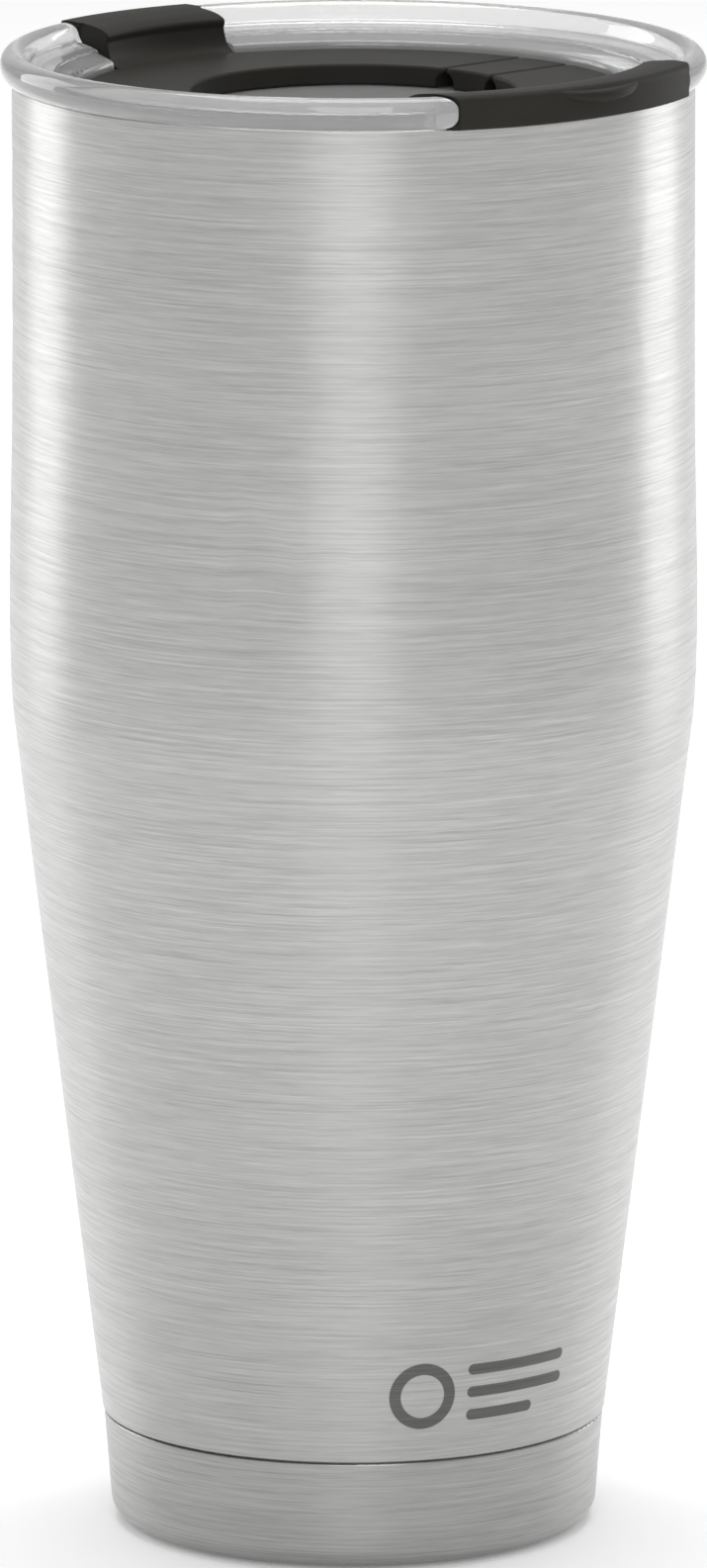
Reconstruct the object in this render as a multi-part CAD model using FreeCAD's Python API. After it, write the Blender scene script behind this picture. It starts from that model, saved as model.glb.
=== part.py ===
import FreeCAD, Part
import os
import math

# Insulated stainless tumbler with a press-in clear lid.
# The lid carries a dark insert: two fixed hinge pads and two half-ring flaps,
# each on its own living hinge, so the drinker opens one side or the other.
# Frame: origin at the centre of the rest face, +Z up, front is -Y. Millimetres.

os.makedirs("parts", exist_ok=True)
V = FreeCAD.Vector

# ---------------------------------------------------------------- driving sizes
RIM_Z = 185.6            # top of the steel rim
SEAM_Z = 14.6            # joint between the outer shell and the base cup
LID_OD = 88.9            # over the bead of the clear lid
SHELL_T = 0.7            # outer wall
LINER_T = 0.5            # inner wall
WING_TURN = 43.9         # plan angle of the front flap, to the right of front
HINGE_Y = 4.2            # each hinge line lies this far from the lid axis
HOLE_R = 20.5            # central hole of the dark insert
INSERT_R = 34.2          # outer radius of the dark insert's deck
DECK = -1.0              # deck top, below the steel rim
INSERT_T = 2.55          # thickness of the dark insert
FLOOR_TOP = -3.7         # top of the clear floor
FLOOR_T = 2.2            # thickness of the clear floor
PLUG_R = 39.3            # outer radius of the lid's plug
PLUG_BOTTOM = -9.6       # lowest edge of the plug
FRONT_HALF = 20.2        # half width of the front flap's wing
REAR_HALF = 10.2         # half width of the rear flap's wing
CREST = 4.3              # top of the wings above the steel rim
GAP = 0.30               # side clearance between a wing and the clear ring
HINGE_Z = -1.35          # height of both hinge axes
HINGE_R = 0.30           # radius of the living-hinge web
CAP_R = 1.2              # the bead ends are rounded with this radius
CAP_LOW = 1.25           # heights of the lower and upper rounding centres
CAP_HIGH = 2.9
BEAD_IN = 40.6           # the bead proper starts at this radius
SLOT_HALF = 13.0         # half length of the drinking slot, to its end centres
SLOT_R = 3.5             # end radius of the drinking slot
SLOT_Y = 27.2            # distance of the drinking slot from the lid axis
SIP_R = 4.5              # radius of the round opening under the rear flap
SIP_Y = 27.3

NODES = {}


def keep(name, shape):
    NODES[name] = shape


def P(r, z):
    return V(r, 0, z)


def wire_rz(start, steps):
    """Closed wire in the XZ plane. A step is (r, z) for a line,
    ('a', (rm, zm), (r, z)) for an arc, or ('s', [(r, z), ...]) for a spline,
    or ('st', [(r, z), ...], t0, t1) for a spline with end tangents."""
    edges = []
    cur = start
    for st in steps:
        if st[0] == 'a':
            edges.append(Part.Arc(P(*cur), P(*st[1]), P(*st[2])).toShape())
            cur = st[2]
        elif st[0] == 's' or st[0] == 'st':
            c = Part.BSplineCurve()
            pts = [P(*cur)] + [P(*q) for q in st[1]]
            if st[0] == 's':
                c.interpolate(pts)
            else:
                c.interpolate(pts, InitialTangent=P(*st[2]), FinalTangent=P(*st[3]))
            edges.append(c.toShape())
            cur = st[1][-1]
        else:
            edges.append(Part.LineSegment(P(*cur), P(*st)).toShape())
            cur = st
    if math.hypot(cur[0] - start[0], cur[1] - start[1]) > 1e-7:
        edges.append(Part.LineSegment(P(*cur), P(*start)).toShape())
    return Part.Wire(edges)


def rev(start, steps, angle=360.0, first=0.0):
    f = Part.Face(wire_rz(start, steps))
    s = f.revolve(V(0, 0, 0), V(0, 0, 1), angle)
    if first:
        s.rotate(V(0, 0, 0), V(0, 0, 1), first)
    if s.ShapeType != 'Solid':
        s = Part.Solid(Part.Shell(s.Faces)) if not s.Solids else s.Solids[0]
    if s.Volume < 0:
        s.reverse()
    return s


def ring(r0, r1, z0, z1):
    a = Part.makeCylinder(r1, z1 - z0, V(0, 0, z0))
    if r0 > 0:
        a = a.cut(Part.makeCylinder(r0, z1 - z0 + 2, V(0, 0, z0 - 1)))
    return a


def box(x0, x1, y0, y1, z0, z1):
    return Part.makeBox(x1 - x0, y1 - y0, z1 - z0, V(x0, y0, z0))


def stadium(half, r, y, z0, z1):
    """Slot-shaped prism, long along X, centred on (0, y)."""
    s = box(-half, half, y - r, y + r, z0, z1)
    s = s.fuse(Part.makeCylinder(r, z1 - z0, V(-half, y, z0)))
    s = s.fuse(Part.makeCylinder(r, z1 - z0, V(half, y, z0)))
    return s.removeSplitter()


def taper_stadium(half, r0, r1, y, z0, z1):
    """Slot-shaped plug: end radius r0 at z0, r1 at z1."""
    ws = []
    for r, z in ((r0, z0), (r1, z1)):
        a = V(-half, y - r, z)
        b = V(half, y - r, z)
        c = V(half + r, y, z)
        d = V(half, y + r, z)
        e = V(-half, y + r, z)
        f = V(-half - r, y, z)
        ws.append(Part.Wire([Part.LineSegment(a, b).toShape(), Part.Arc(b, c, d).toShape(),
                             Part.LineSegment(d, e).toShape(), Part.Arc(e, f, a).toShape()]))
    return Part.makeLoft(ws, True, True)


def one(shape):
    shape = shape.removeSplitter()
    if len(shape.Solids) == 1:
        return shape.Solids[0]
    return shape


def soften(shape, radius, pick):
    """Round the edges that pick(edge) chooses, one group, or leave them sharp."""
    edges = [e for e in shape.Edges if pick(e)]
    if not edges:
        return shape
    for rr in (radius, radius * 0.7, radius * 0.45):
        try:
            out = shape.makeFillet(rr, edges)
            if out.isValid() and out.Volume > 0 and len(out.Solids) == 1:
                return out.Solids[0]
        except Exception:
            pass
    print("not rounded:", radius, len(edges))
    return shape


# ================================================================== the cup
TAPER = 0.122            # radius lost per mm below the shoulder
SHOULDER_Z = 104.0
SHOULDER_R = 43.03


def wall(off):
    """Outer wall line from the rim to the shoulder, moved in by off."""
    pts = [(43.00, RIM_Z), (43.05, 165.0), (43.14, 146.0), (43.36, 132.0), (43.60, 121.0),
           (43.56, 113.5), (SHOULDER_R, SHOULDER_Z)]
    return [(r - off, z) for r, z in pts]


def taper_r(z, off=0.0):
    return SHOULDER_R - TAPER * (SHOULDER_Z - z) - off


outer_top = wall(0.0)
inner_top = wall(SHELL_T)
SPIGOT_R = 31.25
shell = rev((inner_top[0][0], RIM_Z), [
    (outer_top[0][0] - 0.25, RIM_Z),
    ('a', (outer_top[0][0] - 0.073, RIM_Z - 0.073), (outer_top[0][0], RIM_Z - 0.25)),
    ('st', outer_top[1:], (0, -1), (-TAPER, -1)),
    (taper_r(SEAM_Z + 0.25), SEAM_Z + 0.25),
    ('a', (taper_r(SEAM_Z + 0.25) - 0.06, SEAM_Z + 0.08), (taper_r(SEAM_Z) - 0.25, SEAM_Z)),
    (SPIGOT_R, SEAM_Z),
    (SPIGOT_R, 9.6),
    (SPIGOT_R - SHELL_T, 9.6),
    (SPIGOT_R - SHELL_T, SEAM_Z + 0.8),
    (taper_r(SEAM_Z + 1.4, SHELL_T), SEAM_Z + 1.4),
    (inner_top[-1][0], SHOULDER_Z),
    ('st', list(reversed(inner_top[:-1])), (TAPER, 1), (0, 1)),
])
keep("outer_shell", shell)

# inner liner: straight mouth for the lid's plug, then the same shape as the shell
LIN_FLOOR = 20.5
LIN_SPLIT = 32.0
LIN_TAPER_R = 38.9


def liner_r(z, off=0.0):
    return LIN_TAPER_R - TAPER * (SHOULDER_Z - z) + off


def liner_line(off):
    pts = [(39.80, 170.0), (39.50, 156.0), (39.30, 144.0), (39.42, 128.0), (39.38, 115.0),
           (LIN_TAPER_R, SHOULDER_Z)]
    return [(r + off, z) for r, z in pts]


li = liner_line(0.0)
lo = liner_line(LINER_T)
FLANGE_R = 43.0 - SHELL_T
liner = rev((39.95, RIM_Z), [
    (FLANGE_R, RIM_Z),
    (FLANGE_R, RIM_Z - 0.6),
    (lo[0][0] + 0.4, RIM_Z - 0.6),
    ('a', (lo[0][0] + 0.12, RIM_Z - 0.72), (lo[0][0], RIM_Z - 1.0)),
    lo[0],
    ('st', lo[1:], (0, -1), (-TAPER, -1)),
    (liner_r(LIN_SPLIT, LINER_T), LIN_SPLIT),
    (liner_r(LIN_SPLIT), LIN_SPLIT),
    li[-1],
    ('st', list(reversed(li[:-1])), (TAPER, 1), (0, 1)),
    (39.80, RIM_Z - 0.15),
    ('a', (39.844, RIM_Z - 0.044), (39.95, RIM_Z)),
])
keep("inner_liner", liner)

# deep-drawn bottom of the liner, welded to it edge to edge
r_s = liner_r(LIN_SPLIT)
r_k = liner_r(LIN_FLOOR + 6.0)
bottom = rev((0, LIN_FLOOR), [
    (r_k - 6.0, LIN_FLOOR),
    ('a', (r_k - 6.0 * (1 - math.sin(math.radians(45))), LIN_FLOOR + 6.0 * (1 - math.cos(math.radians(45)))),
     (r_k, LIN_FLOOR + 6.0)),
    (r_s, LIN_SPLIT),
    (r_s + LINER_T, LIN_SPLIT),
    (r_k + LINER_T, LIN_FLOOR + 6.0),
    ('a', (r_k - 6.0 + 6.5 * math.sin(math.radians(45)), LIN_FLOOR + 6.0 - 6.5 * math.cos(math.radians(45))),
     (r_k - 6.0, LIN_FLOOR - LINER_T)),
    (0, LIN_FLOOR - LINER_T),
])
keep("liner_bottom", bottom)

# thin heat-reflecting foil wrapped round the liner inside the vacuum space
FOIL_T = 0.2
FOIL_GAP = 0.06
f_in = liner_line(LINER_T + FOIL_GAP)
f_out = liner_line(LINER_T + FOIL_GAP + FOIL_T)
foil = rev(f_in[0], [
    ('st', f_in[1:], (0, -1), (-TAPER, -1)),
    (liner_r(40.0, LINER_T + FOIL_GAP), 40.0),
    (liner_r(40.0, LINER_T + FOIL_GAP + FOIL_T), 40.0),
    f_out[-1],
    ('st', list(reversed(f_out[:-1])), (TAPER, 1), (0, 1)),
])
keep("reflective_foil", foil)

# disc that closes the vacuum space from below, with a raised evacuation dimple
VB_R = SPIGOT_R - SHELL_T
vac = rev((1.2, 12.6), [
    (4.0, 12.6), (5.6, 10.6), (VB_R - 2.0, 10.6),
    ('a', (VB_R - 0.586, 11.186 - 0.0), (VB_R, 12.6)),
    (VB_R, 14.2), (VB_R - 0.6, 14.2), (VB_R - 0.6, 12.6),
    ('a', (VB_R - 1.01, 11.61), (VB_R - 2.0, 11.2)),
    (6.0, 11.2), (4.4, 13.2), (1.2, 13.2),
])
keep("vacuum_base", vac)

# glass bead that seals the evacuation hole
keep("vacuum_seal", rev((0, 11.4), [(2.2, 11.4), ('a', (3.2, 11.8), (3.4, 12.6)), (1.2, 12.6), (1.2, 13.0),
                                    (0, 13.0)]))

# getter pellet and the spring clip that holds it on the vacuum base
GX = 15.0
clip = box(GX - 9, GX + 9, -3.0, 3.0, 11.2, 11.6)
clip = clip.fuse(ring(4.55, 4.95, 11.2, 13.9).translated(V(GX, 0, 0)))
keep("getter_clip", one(clip))
pellet = Part.makeCylinder(4.5, 2.6, V(GX, 0, 11.6))
keep("getter_pellet", soften(pellet, 0.4, lambda e: e.BoundBox.ZLength < 1e-3 and e.BoundBox.ZMax > 14))

# stamped base cup pressed over the shell's spigot
CUP_TOP_R = 31.95
CUP_T = 0.6
FOOT_Z = 0.25            # underside of the rolled foot
FOOT_R = 3.0
FOOT_C = 31.08 - FOOT_R
q = math.sqrt(0.5)
cup = rev((SPIGOT_R + 0.02, SEAM_Z - 0.25), [
    (CUP_TOP_R - 0.2, SEAM_Z - 0.25),
    ('a', (CUP_TOP_R - 0.06, SEAM_Z - 0.31), (CUP_TOP_R, SEAM_Z - 0.45)),
    (FOOT_C + FOOT_R, FOOT_Z + FOOT_R),
    ('a', (FOOT_C + FOOT_R * q, FOOT_Z + FOOT_R * (1 - q)), (FOOT_C, FOOT_Z)),
    (26.4, FOOT_Z),
    ('a', (25.95, FOOT_Z + 0.15), (25.75, FOOT_Z + 0.6)),
    (25.75, 1.4),
    (0, 1.4),
    (0, 1.4 + CUP_T),
    (26.2, 1.4 + CUP_T),
    (26.45, FOOT_Z + CUP_T),
    (FOOT_C, FOOT_Z + CUP_T),
    ('a', (FOOT_C + (FOOT_R - CUP_T) * q, FOOT_Z + FOOT_R - (FOOT_R - CUP_T) * q),
     (FOOT_C + FOOT_R - CUP_T, FOOT_Z + FOOT_R)),
    (SPIGOT_R + 0.02, 9.2),
])
keep("base_cup", cup)

# non-slip pad, glued in the recess of the base cup; its ring is the rest face
pad = rev((0, 0.45), [(17.5, 0.45), (18.0, 0.0), (24.9, 0.0), (25.4, 0.45), (25.4, 1.4), (0, 1.4)])
keep("base_pad", pad)

# ================================================================== the lid
# The lid is drawn with z = 0 at the steel rim and its front flap towards -Y;
# place() turns it to its real direction and lifts it to the rim.


def place(shape):
    s = shape.copy()
    s.rotate(V(0, 0, 0), V(0, 0, 1), WING_TURN)
    s.translate(V(0, 0, RIM_Z))
    return s


BEAD_R = LID_OD / 2.0
F0 = FLOOR_TOP
F1 = FLOOR_TOP - FLOOR_T
WELL_R = INSERT_R + 0.4

lid = rev((0, F0), [
    (WELL_R - 0.5, F0),
    ('a', (WELL_R - 0.146, F0 + 0.146), (WELL_R, F0 + 0.5)),
    (WELL_R, DECK + 0.35),
    ('s', [(WELL_R + 0.12, DECK + 0.72), (WELL_R + 0.45, DECK + 0.98)]),
    (37.25, 0.62),
    ('a', (37.42, 0.72), (37.5, 0.9)),
    ('a', (37.56, 1.06), (37.72, 1.14)),
    (40.1, 1.62),
    ('s', [(40.75, 1.95), (41.15, 2.65), (41.6, 3.5), (42.15, 3.95), (42.8, 4.1)]),
    ('s', [(43.6, 3.88), (44.22, 3.2), (BEAD_R, 2.3), (44.3, 1.25), (43.8, 0.45), (43.15, 0.06)]),
    (PLUG_R + 0.3, 0.06),
    (PLUG_R, -0.35),
    (PLUG_R, -4.6),
    (37.9, -4.6),
    (37.9, -7.6),
    (PLUG_R, -7.6),
    (PLUG_R, PLUG_BOTTOM + 0.6),
    (PLUG_R - 0.6, PLUG_BOTTOM),
    (37.0, PLUG_BOTTOM),
    (36.6, F1 + 0.4),
    ('a', (36.48, F1 + 0.12), (36.2, F1)),
    (0, F1),
])

# low seats in the bead for the two wings: the ring is cut down to a thin flange,
# and what is left of the bead ends in a rounded edge
SEAT = 0.70
SEAT_R = 41.85


def cap(sx, half, grow=0.0, y0=-50.0, y1=-34.0):
    """Radial bar with rounded edges on which the bead ends, beside a wing of that half width."""
    x, r = sx * (half + CAP_R), CAP_R + grow
    bar = box(x - r, x + r, y0, y1, CAP_LOW, CAP_HIGH)
    for z in (CAP_LOW, CAP_HIGH):
        bar = bar.fuse(Part.makeCylinder(r, y1 - y0, V(x, y0, z), V(0, 1, 0)))
    return bar.removeSplitter()


def seat_cut(half):
    prof = rev((WELL_R - 0.6, -3.4), [
        (WELL_R, -3.4), (38.3, SEAT), (SEAT_R, SEAT), (SEAT_R, -0.3), (48.0, -0.3), (48.0, 7.0),
        (WELL_R - 0.6, 7.0)])
    core = Part.makeCylinder(BEAD_IN, 20, V(0, 0, -8))
    inner = prof.common(box(-half - GAP, half + GAP, -50, 0, -4, 8)).common(core)
    outer = prof.common(box(-half - CAP_R, half + CAP_R, -50, 0, -4, 8)).cut(core)
    for sx in (-1, 1):
        outer = outer.cut(cap(sx, half))
    return inner, outer


for half, turn in ((FRONT_HALF, 0), (REAR_HALF, 180)):
    for c in seat_cut(half):
        c.rotate(V(0, 0, 0), V(0, 0, 1), turn)
        lid = lid.cut(c)

# drinking slot, round opening and the pad pegs' holes
lid = lid.cut(stadium(SLOT_HALF, SLOT_R, -SLOT_Y, F1 - 1, F0 + 1))
lid = lid.cut(Part.makeCylinder(SIP_R, FLOOR_T + 2, V(0, SIP_Y, F1 - 1)))
PEG_R = 1.4
PEG_X = 27.4
for sx in (-1, 1):
    lid = lid.cut(Part.makeCylinder(PEG_R + 0.05, FLOOR_T + 2, V(sx * PEG_X, 0, F1 - 1)))
lid = one(lid)


keep("lid_body", place(lid))

# silicone ring in the plug's groove; it stops just short of the liner
gasket = rev((37.9, -4.7), [
    (38.7, -4.7), ('a', (39.25, -4.75), (39.45, -5.0)), ('a', (39.68, -5.25), (39.45, -5.6)),
    (39.1, -6.1), (39.45, -6.6), ('a', (39.68, -6.95), (39.45, -7.2)), ('a', (39.25, -7.45), (38.7, -7.5)),
    (37.9, -7.5),
])
keep("lid_gasket", place(gasket))

# ---------------------------------------------------------------- dark insert
D0 = DECK
D1 = DECK - INSERT_T     # underside of the flaps


def edge_line(side, low):
    """Half profile of a hinge gap in (y, z), measured from the hinge line.
    side = -1 for the part on the -Y side of the line, +1 for the other."""
    s = side
    return [(s * 0.55, D0), (s * 0.34, D0 - 0.30), (s * 0.34, D0 - 0.62),
            (s * 0.75, D0 - 0.80), (s * 1.15, D0 - 1.20), (s * 1.35, D0 - 1.75), (s * 1.40, low)]


def prism_yz(pts, x0, x1):
    vs = [V(x0, y, z) for y, z in pts]
    f = Part.Face(Part.makePolygon(vs + [vs[0]]))
    return f.extrude(V(x1 - x0, 0, 0))


def annulus(low):
    a = rev((HOLE_R, low), [
        (INSERT_R, low), (INSERT_R, D0 - 0.15), (INSERT_R - 0.15, D0), (HOLE_R + 0.35, D0),
        ('a', (HOLE_R + 0.10, D0 - 0.10), (HOLE_R, D0 - 0.35))])
    return a


# fixed hinge pads, one each side of the hole, staked through the clear floor
low = F0
prof = [(-HINGE_Y + y, z) for y, z in edge_line(1, low)]
prof += [(HINGE_Y + y, z) for y, z in reversed(edge_line(-1, low))]
bridge = annulus(low).common(prism_yz(prof, -40, 40))
for name, sx in (("hinge_pad_left", -1), ("hinge_pad_right", 1)):
    half = [s for s in bridge.Solids if s.CenterOfMass.x * sx > 0][0]
    peg = Part.makeCylinder(PEG_R, FLOOR_T + 0.1, V(sx * PEG_X, 0, F1 - 0.1))
    head = Part.makeCone(2.0, 2.5, 0.5, V(sx * PEG_X, 0, F1 - 0.9)).fuse(
        Part.makeCylinder(2.5, 0.4, V(sx * PEG_X, 0, F1 - 0.4)))
    keep(name, place(one(half.fuse(peg).fuse(head))))


def wing(half, ridge):
    """A wing turned about the axis, cut to its width and hollowed at its ends
    to clear the bead's rounded ends."""
    top = [(33.3, D0), ('s', [(34.5, D0 + 0.24), (35.35, D0 + 0.95), (35.8, D0 + 2.0), (36.05, D0 + 3.1)])]
    if ridge:
        top += [('s', [(35.92, 2.45), (35.85, 2.85), (36.1, 3.25)]),
                ('s', [(36.9, 3.62), (38.6, 3.98), (40.8, 4.22), (43.5, CREST - 0.04)])]
    else:
        top += [('s', [(36.5, 2.95), (37.5, 3.6), (39.4, 4.02), (41.4, 4.24), (43.5, CREST - 0.04)])]
    s = rev((33.3, D0 - 0.9), top + [
        ('a', (44.14, CREST - 0.30), (44.40, CREST - 0.95)),
        (44.40, 0.30),
        ('a', (44.34, 0.16), (44.2, 0.10)),
        (42.2, 0.10),
        (42.2, 1.1),
        (37.85, 1.1),
        (34.2, -2.85),
        (33.6, D1 + 0.05),
    ])
    core = Part.makeCylinder(BEAD_IN, 20, V(0, 0, -8))
    inner = s.common(box(-half, half, -50, 0, -6, 8)).common(core)
    lip = half + CAP_R - 0.65
    outer = s.common(box(-lip, lip, -50, 0, -6, 8)).cut(core)
    for sx in (-1, 1):
        outer = outer.cut(cap(sx, half, GAP))
        x0, x1 = sorted((sx * (half - GAP), sx * (half + 5)))
        outer = outer.cut(box(x0, x1, -50, 0, -6, CAP_LOW))
    return inner.fuse(outer).removeSplitter()


def thumb_lip(half, reach, droop):
    """Curved lip that stands out of the wing's top outer edge."""
    n = 28
    secs = []
    for i in range(n + 1):
        t = -1 + 2.0 * i / n
        k = max(0.0, 1 - t * t) ** 0.75
        out = 43.2 + 0.15 + (reach + 1.1) * k
        ang = math.radians(-90) + t * half / 44.0
        zt = CREST - 0.20 - droop * k
        th = 0.55 + 0.75 * k
        pts = []
        for r, z in ((42.6, zt - 0.05), (out - 0.5, zt + 0.02), (out - 0.12, zt - 0.18), (out, zt - th * 0.5),
                     (out - 0.15, zt - th + 0.12), (out - 0.55, zt - th), (42.6, zt - th - 1.1)):
            pts.append(V(r * math.cos(ang), r * math.sin(ang), z))
        secs.append(Part.makePolygon(pts + [pts[0]]))
    return Part.makeLoft(secs, True, False)


def flap(half, ridge, lip_half, reach):
    """Flap with its hinge edge towards +Y and its wing towards -Y."""
    prof = [(-HINGE_Y + y, z) for y, z in edge_line(-1, D1)]
    prof = [(-50.0, D0)] + prof + [(-50.0, D1)]
    deck = annulus(D1).common(prism_yz(prof, -40, 40))
    w = wing(half, ridge)
    body = deck.fuse(w).fuse(thumb_lip(lip_half, reach, 0.35))
    return body


front = flap(FRONT_HALF, False, 7.6, 1.9)
rear = flap(REAR_HALF, True, 5.6, 1.4)

# pockets for the silicone stoppers, then the stoppers
POCKET = 0.8
front = front.cut(stadium(SLOT_HALF, SLOT_R + 0.45, -SLOT_Y, D1 - 1, D1 + POCKET))
rear = rear.cut(Part.makeCylinder(SIP_R + 0.5, POCKET + 1, V(0, -SIP_Y, D1 - 1)))
front = one(front)
rear = one(rear)
keep("front_flap", place(front))
rear.rotate(V(0, 0, 0), V(0, 0, 1), 180)
keep("rear_flap", place(rear))

PLUG_IN = 1.7            # how far a stopper reaches into the floor's opening
fs = stadium(SLOT_HALF, SLOT_R + 0.43, -SLOT_Y, D1, D1 + POCKET)
fs = fs.fuse(taper_stadium(SLOT_HALF, SLOT_R - 0.9, SLOT_R - 0.3, -SLOT_Y, D1 - PLUG_IN, D1))
keep("front_flap_seal", place(one(fs)))
rs = Part.makeCylinder(SIP_R + 0.48, POCKET, V(0, SIP_Y, D1))
rs = rs.fuse(Part.makeCone(SIP_R - 0.85, SIP_R - 0.3, PLUG_IN, V(0, SIP_Y, D1 - PLUG_IN)))
keep("rear_flap_seal", place(one(rs)))

# living hinges: the thin webs that the flaps turn on, one each side of the hole
for name, sy in (("front_living_hinge", -1), ("rear_living_hinge", 1)):
    webs = []
    x0 = math.sqrt(HOLE_R ** 2 - HINGE_Y ** 2) + 0.5
    x1 = math.sqrt(INSERT_R ** 2 - HINGE_Y ** 2) - 0.5
    for sx in (-1, 1):
        webs.append(Part.makeCylinder(HINGE_R, x1 - x0, V(x0 if sx > 0 else -x1, sy * HINGE_Y, HINGE_Z), V(1, 0, 0)))
    keep(name, place(Part.makeCompound(webs)))

# ================================================================== write out
for name in sorted(NODES):
    s = NODES[name]
    bad = "" if s.isValid() else "  INVALID"
    b = s.BoundBox
    print("%-20s solids %d  vol %9.1f  z %.2f..%.2f%s" % (name, len(s.Solids), s.Volume, b.ZMin, b.ZMax, bad))
    s.exportStep("parts/" + name + ".step")

# drinkable volume below the lid's floor
fill = rev((0, LIN_FLOOR), [
    (r_k - 6.0, LIN_FLOOR),
    ('a', (r_k - 6.0 * (1 - math.sin(math.radians(45))), LIN_FLOOR + 6.0 * (1 - math.cos(math.radians(45)))),
     (r_k, LIN_FLOOR + 6.0)),
    li[-1],
    ('st', list(reversed(li[:-1])), (TAPER, 1), (0, 1)),
    (39.80, RIM_Z + PLUG_BOTTOM), (0, RIM_Z + PLUG_BOTTOM)])
print("volume below the plug, ml: %.0f" % (fill.Volume / 1000.0))
hx = HINGE_Y * math.sin(math.radians(WING_TURN))
hy = HINGE_Y * math.cos(math.radians(WING_TURN))
print("front hinge point, m: %.5f %.5f %.5f" % (hx / 1000, -hy / 1000, (RIM_Z + HINGE_Z) / 1000))
print("hinge direction: %.6f %.6f 0" % (math.cos(math.radians(WING_TURN)), math.sin(math.radians(WING_TURN))))
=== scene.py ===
import bpy, bmesh, math
from mathutils import Vector, Matrix, noise


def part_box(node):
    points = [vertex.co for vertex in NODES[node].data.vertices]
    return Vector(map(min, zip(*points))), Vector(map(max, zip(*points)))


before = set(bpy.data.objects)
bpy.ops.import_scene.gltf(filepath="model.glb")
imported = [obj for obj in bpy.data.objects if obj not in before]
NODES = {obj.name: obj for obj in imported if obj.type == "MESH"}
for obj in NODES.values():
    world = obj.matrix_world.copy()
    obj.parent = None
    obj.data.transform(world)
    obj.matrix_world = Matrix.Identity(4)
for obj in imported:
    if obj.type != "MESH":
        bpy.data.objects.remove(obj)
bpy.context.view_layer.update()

scene = bpy.context.scene
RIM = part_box("outer_shell")[1].z            # top of the steel rim
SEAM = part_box("base_cup")[1].z              # top of the base cup


# ------------------------------------------------------------------ node helpers
class Mat:
    """Small helper that builds a node material with object coordinates."""

    def __init__(self, name):
        self.m = bpy.data.materials.new(name)
        self.m.use_nodes = True
        self.t = self.m.node_tree
        self.b = self.t.nodes["Principled BSDF"]
        self.out = self.t.nodes["Material Output"]

    def node(self, kind, **kw):
        n = self.t.nodes.new(kind)
        for k, v in kw.items():
            if hasattr(n, k):
                setattr(n, k, v)
            else:
                n.inputs[k.replace("_", " ")].default_value = v
        return n

    def link(self, a, b):
        self.t.links.new(a, b)

    def math(self, op, a, b=None, c=None, clamp=False):
        n = self.t.nodes.new("ShaderNodeMath")
        n.operation = op
        n.use_clamp = clamp
        for i, v in enumerate((a, b, c)):
            if v is None:
                continue
            if isinstance(v, (int, float)):
                n.inputs[i].default_value = v
            else:
                self.link(v, n.inputs[i])
        return n.outputs[0]

    def coords(self):
        tc = self.t.nodes.new("ShaderNodeTexCoord")
        return tc.outputs["Object"]

    def scaled(self, vec, s):
        m = self.t.nodes.new("ShaderNodeMapping")
        m.inputs["Scale"].default_value = s
        self.link(vec, m.inputs["Vector"])
        return m.outputs[0]

    def noise(self, vec, scale, detail=3.0, rough=0.5, distortion=0.0):
        n = self.t.nodes.new("ShaderNodeTexNoise")
        n.inputs["Scale"].default_value = scale
        n.inputs["Detail"].default_value = detail
        n.inputs["Roughness"].default_value = rough
        n.inputs["Distortion"].default_value = distortion
        self.link(vec, n.inputs["Vector"])
        return n.outputs[0]

    def ramp(self, fac, stops):
        n = self.t.nodes.new("ShaderNodeValToRGB")
        el = n.color_ramp.elements
        while len(el) > 1:
            el.remove(el[-1])
        el[0].position, el[0].color = stops[0][0], stops[0][1]
        for p, c in stops[1:]:
            e = el.new(p)
            e.color = c
        self.link(fac, n.inputs[0])
        return n.outputs[0]

    def range(self, v, a, b, c, d):
        n = self.t.nodes.new("ShaderNodeMapRange")
        self.link(v, n.inputs[0])
        for i, x in enumerate((a, b, c, d)):
            n.inputs[i + 1].default_value = x
        return n.outputs[0]

    def bump(self, height, strength, dist, after=None):
        n = self.t.nodes.new("ShaderNodeBump")
        n.inputs["Strength"].default_value = strength
        n.inputs["Distance"].default_value = dist
        self.link(height, n.inputs["Height"])
        if after is not None:
            self.link(after, n.inputs["Normal"])
        return n.outputs[0]


def g(v):
    return (v, v, v, 1.0)


def emblem(k, co):
    """Mask of a plain etched figure low on the wall: a ring and three bars."""
    sep = k.t.nodes.new("ShaderNodeSeparateXYZ")
    k.link(co, sep.inputs[0])
    ang = k.math("ARCTAN2", sep.outputs[0], k.math("MULTIPLY", sep.outputs[1], -1.0))
    u = k.math("MULTIPLY", k.math("SUBTRACT", ang, math.radians(30.6)), 0.0335)
    v = k.math("SUBTRACT", sep.outputs[2], 0.0232)

    def inside(d, soft=0.00006):
        return k.range(d, -soft, soft, 1.0, 0.0)

    def bar(cx, cy, half, r):
        du = k.math("MAXIMUM", k.math("SUBTRACT", k.math("ABSOLUTE", k.math("SUBTRACT", u, cx)), half), 0.0)
        dv = k.math("SUBTRACT", v, cy)
        return inside(k.math("SUBTRACT", k.math("SQRT", k.math("ADD", k.math("MULTIPLY", du, du),
                                                               k.math("MULTIPLY", dv, dv))), r))

    ru = k.math("ADD", u, 0.0090)
    rr = k.math("SQRT", k.math("ADD", k.math("MULTIPLY", ru, ru), k.math("MULTIPLY", v, v)))
    out = inside(k.math("SUBTRACT", k.math("ABSOLUTE", k.math("SUBTRACT", rr, 0.0036)), 0.00075))
    for cx, cy, half in ((0.0048, 0.0030, 0.0070), (0.0048, 0.0, 0.0070), (0.0022, -0.0030, 0.0044)):
        out = k.math("MAXIMUM", out, bar(cx, cy, half, 0.00072))
    return out


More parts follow.
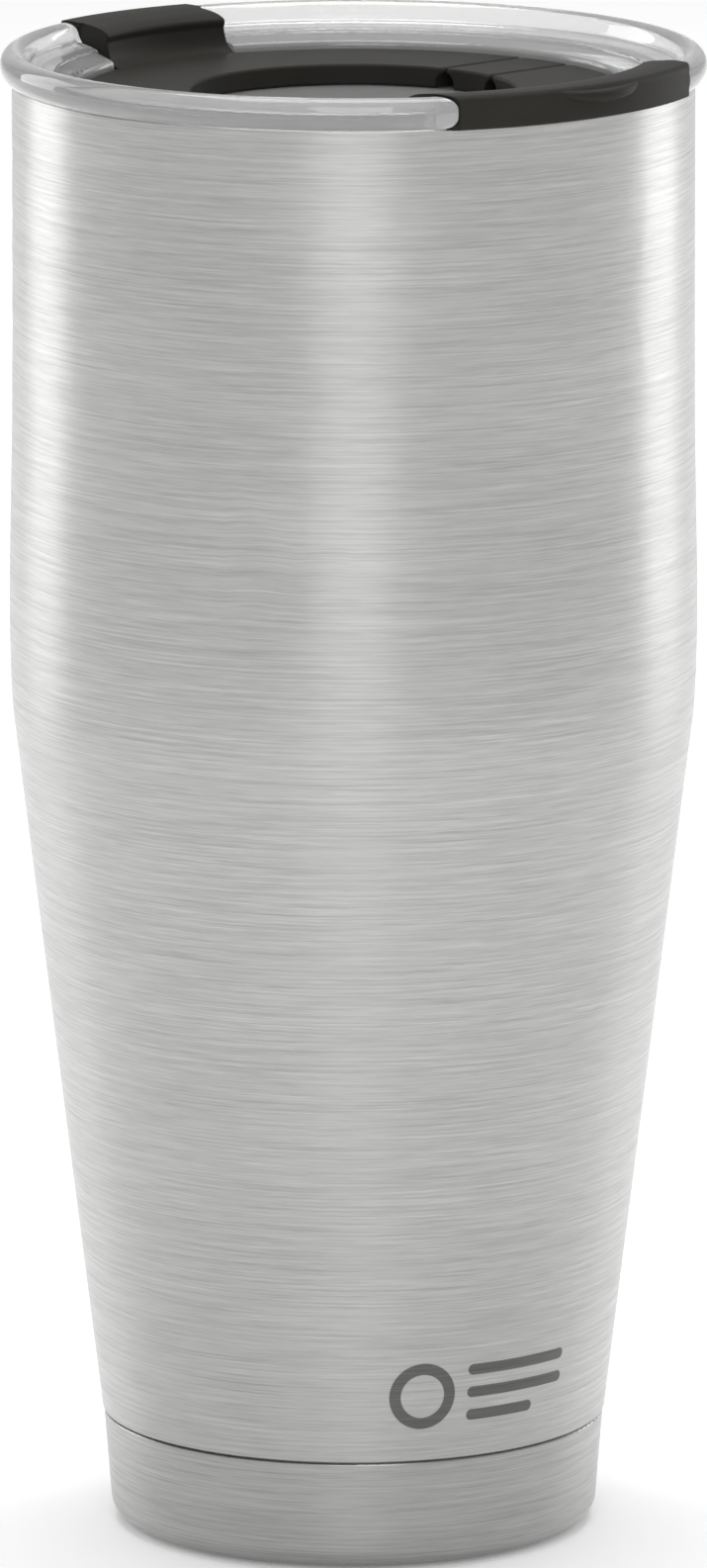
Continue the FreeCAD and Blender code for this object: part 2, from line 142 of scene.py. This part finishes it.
def brushed(name, base, rough, aniso, streak=1.0, lo=0.84, hi=1.14, mark=False):
    """Steel brushed round the body: long fine streaks round Z, concentric on flat faces."""
    k = Mat(name)
    place = k.coords()
    sp = k.t.nodes.new("ShaderNodeSeparateXYZ")
    k.link(place, sp.inputs[0])
    rad = k.math("SQRT", k.math("ADD", k.math("MULTIPLY", sp.outputs[0], sp.outputs[0]),
                                k.math("MULTIPLY", sp.outputs[1], sp.outputs[1])))
    lap = k.t.nodes.new("ShaderNodeCombineXYZ")
    k.link(sp.outputs[0], lap.inputs[0])
    k.link(sp.outputs[1], lap.inputs[1])
    k.link(k.math("ADD", sp.outputs[2], rad), lap.inputs[2])
    co = lap.outputs[0]
    fine = k.noise(k.scaled(co, (38.0, 38.0, 5600.0)), 1.0, 2.0, 0.65)
    mid = k.noise(k.scaled(co, (60.0, 60.0, 3000.0)), 1.0, 3.0, 0.7)
    short = k.noise(k.scaled(co, (190.0, 190.0, 4400.0)), 1.0, 2.0, 0.6)
    mix = k.math("ADD", k.math("MULTIPLY", fine, 0.40), k.math("MULTIPLY", mid, 0.35))
    mix = k.math("ADD", mix, k.math("MULTIPLY", short, 0.25))
    cloud = k.noise(k.scaled(co, (30.0, 30.0, 60.0)), 1.0, 2.0, 0.5)
    tone = k.range(mix, 0.38, 0.62, lo, hi)
    tone = k.math("MULTIPLY", tone, k.range(cloud, 0.3, 0.7, 0.975, 1.02))
    col = k.t.nodes.new("ShaderNodeMix")
    col.data_type = "RGBA"
    col.blend_type = "MULTIPLY"
    col.inputs["Factor"].default_value = 1.0
    col.inputs[6].default_value = (*base, 1.0)
    # Painted shade: the steel colour is darkened towards the bottom, x0.91 below 3 cm rising to x1.04 above 14
    # cm. It stands in for how the light falls on the lower body; the steel itself has one tone.
    tone = k.math("MULTIPLY", tone, k.range(sp.outputs[2], 0.03, 0.14, 0.91, 1.04))
    if mark:
        tone = k.math("MULTIPLY", tone, k.range(emblem(k, place), 0.0, 1.0, 1.0, 0.30))
    comb = k.t.nodes.new("ShaderNodeCombineColor")
    for i in range(3):
        k.link(tone, comb.inputs[i])
    k.link(comb.outputs[0], col.inputs[7])
    k.link(col.outputs[2], k.b.inputs["Base Color"])
    k.b.inputs["Metallic"].default_value = 1.0
    k.link(k.range(mix, 0.35, 0.65, rough + 0.05, rough - 0.05), k.b.inputs["Roughness"])
    k.b.inputs["Anisotropic"].default_value = aniso
    k.b.inputs["Anisotropic Rotation"].default_value = 0.25
    tan = k.t.nodes.new("ShaderNodeTangent")
    tan.direction_type = "RADIAL"
    tan.axis = "Z"
    k.link(tan.outputs[0], k.b.inputs["Tangent"])
    k.link(k.bump(mix, 0.22 * streak, 0.00004), k.b.inputs["Normal"])
    return k.m


def moulded(name, base, rough, spec=0.5, grain=1.0, edge=0.0):
    """Satin moulded plastic: fine spark-eroded grain and a little tone change."""
    k = Mat(name)
    co = k.coords()
    fine = k.noise(co, 5200.0, 2.0, 0.6)
    broad = k.noise(co, 90.0, 3.0, 0.55)
    tone = k.math("ADD", k.math("MULTIPLY", fine, 0.35), k.math("MULTIPLY", broad, 0.65))
    a = tuple(c * 0.90 for c in base) + (1.0,)
    b = tuple(c * 1.12 for c in base) + (1.0,)
    k.link(k.ramp(tone, [(0.35, a), (0.65, b)]), k.b.inputs["Base Color"])
    k.link(k.range(fine, 0.3, 0.7, rough - 0.05, rough + 0.06), k.b.inputs["Roughness"])
    k.b.inputs["Specular IOR Level"].default_value = spec
    eased = None
    if edge:
        bev = k.t.nodes.new("ShaderNodeBevel")
        bev.samples = 4
        bev.inputs["Radius"].default_value = edge
        eased = bev.outputs[0]
    k.link(k.bump(fine, 0.18 * grain, 0.00003, eased), k.b.inputs["Normal"])
    return k.m


def clear(name, base, rough, ior=1.52):
    """Clear moulded plastic with the faintest flow waves."""
    k = Mat(name)
    co = k.coords()
    wave = k.noise(co, 70.0, 1.0, 0.4)
    k.link(k.ramp(wave, [(0.3, tuple(c * 0.985 for c in base) + (1.0,)), (0.7, (*base, 1.0))]),
           k.b.inputs["Base Color"])
    k.link(k.range(wave, 0.3, 0.7, rough, rough + 0.02), k.b.inputs["Roughness"])
    k.b.inputs["Transmission Weight"].default_value = 0.74
    k.b.inputs["IOR"].default_value = ior
    k.link(k.bump(wave, 0.02, 0.0004), k.b.inputs["Normal"])
    return k.m


def wear(obj, mat):
    obj.data.materials.clear()
    obj.data.materials.append(mat)


STEEL = brushed("steel_brushed", (0.46, 0.46, 0.455), 0.34, 0.75, mark=True)
STEEL_BASE = brushed("steel_base", (0.42, 0.42, 0.415), 0.36, 0.7)
# Painted light: the liner steel is given a raised colour (0.70) and made part diffuse (metallic 0.65) so the
# inside of the cup reads light grey. This stands in for light that does not reach in there in the render.
LINER = brushed("steel_liner", (0.70, 0.70, 0.69), 0.34, 0.4, 0.3, 0.97, 1.03)
LINER.node_tree.nodes["Principled BSDF"].inputs["Metallic"].default_value = 0.65
FOIL = brushed("foil_copper", (0.72, 0.42, 0.28), 0.25, 0.2, 1.5)
DARK = moulded("plastic_dark", (0.0235, 0.0225, 0.0195), 0.5, 0.10, 1.0, 0.0004)
CLEAR = clear("plastic_clear", (0.86, 0.865, 0.86), 0.03)
SILI_D = moulded("silicone_dark", (0.06, 0.06, 0.06), 0.6, 0.35, 0.6)
SILI_C = moulded("silicone_clear", (0.72, 0.73, 0.72), 0.5, 0.4, 0.5)
RUBBER = moulded("rubber_base", (0.045, 0.045, 0.045), 0.65, 0.3, 1.4)
GETTER = moulded("getter_alloy", (0.12, 0.12, 0.125), 0.6, 0.5, 2.0)
FRIT = moulded("seal_glass", (0.30, 0.36, 0.34), 0.15, 0.5, 0.2)

MATS = {
    "outer_shell": STEEL, "base_cup": STEEL_BASE, "inner_liner": LINER, "liner_bottom": LINER,
    "vacuum_base": LINER, "reflective_foil": FOIL, "vacuum_seal": FRIT, "getter_clip": LINER,
    "getter_pellet": GETTER, "base_pad": RUBBER, "lid_body": CLEAR, "lid_gasket": SILI_C,
    "hinge_pad_left": DARK, "hinge_pad_right": DARK, "front_flap": DARK, "rear_flap": DARK,
    "front_living_hinge": DARK, "rear_living_hinge": DARK, "front_flap_seal": SILI_D, "rear_flap_seal": SILI_D,
}
for n, o in NODES.items():
    wear(o, MATS[n])

# ------------------------------------------------------------------ stage
def plane(name, sx, sy, z=0.0, loc=(0, 0)):
    me = bpy.data.meshes.new(name)
    bm = bmesh.new()
    bmesh.ops.create_grid(bm, x_segments=8, y_segments=8, size=0.5)
    for v in bm.verts:
        v.co = Vector((v.co.x * sx + loc[0], v.co.y * sy + loc[1], z))
    bm.to_mesh(me)
    bm.free()
    o = bpy.data.objects.new(name, me)
    scene.collection.objects.link(o)
    return o


floor = plane("floor", 6.0, 6.0)
fm = Mat("floor_pale")
fn = fm.noise(fm.coords(), 6.0, 2.0, 0.5)
fm.link(fm.ramp(fn, [(0.3, (0.90, 0.90, 0.90, 1)), (0.7, (0.915, 0.915, 0.915, 1))]), fm.b.inputs["Base Color"])
fm.b.inputs["Roughness"].default_value = 0.8
fm.b.inputs["Specular IOR Level"].default_value = 0.2
fm.b.inputs["Emission Color"].default_value = (1, 1, 1, 1)
fm.b.inputs["Emission Strength"].default_value = 0.15
wear(floor, fm.m)

world = bpy.data.worlds.new("studio")
scene.world = world
world.use_nodes = True
world.node_tree.nodes["Background"].inputs[0].default_value = (1, 1, 1, 1)
world.node_tree.nodes["Background"].inputs[1].default_value = 0.55


def area(name, loc, target, sx, sy, power, color=(1, 1, 1)):
    li = bpy.data.lights.new(name, "AREA")
    li.shape = "RECTANGLE"
    li.size, li.size_y = sx, sy
    li.energy = power
    li.color = color
    o = bpy.data.objects.new(name, li)
    scene.collection.objects.link(o)
    o.location = loc
    d = Vector(target) - Vector(loc)
    o.rotation_euler = d.to_track_quat("-Z", "Y").to_euler()
    return o


area("key_front", (0.0, -1.9, 1.1), (0, 0, 0.1), 0.9, 1.3, 9.0)
area("rim_left", (-1.3, 0.9, 0.5), (0, 0, 0.1), 0.7, 1.2, 6.5)
area("rim_right", (1.3, 0.9, 0.5), (0, 0, 0.1), 0.7, 1.2, 6.5)
area("top", (0.0, 0.25, 1.6), (0, 0, 0.1), 1.2, 1.0, 14)

# ------------------------------------------------------------------ camera
CAM_D = 1.7160
CAM_Z = 0.440624
PITCH = math.radians(11.377)
F_PX = 13931.0
cd = bpy.data.cameras.new("camera")
cam = bpy.data.objects.new("camera", cd)
scene.collection.objects.link(cam)
cd.sensor_fit = "VERTICAL"
cd.sensor_height = 36.0
cd.lens = F_PX * 36.0 / 1585.0
cd.clip_start = 0.05
cd.clip_end = 20.0
cam.location = (0.0, -CAM_D, CAM_Z)
cam.rotation_euler = (math.radians(90) - PITCH, 0, 0)
scene.camera = cam

scene.view_settings.view_transform = "Standard"
scene.view_settings.look = "None"
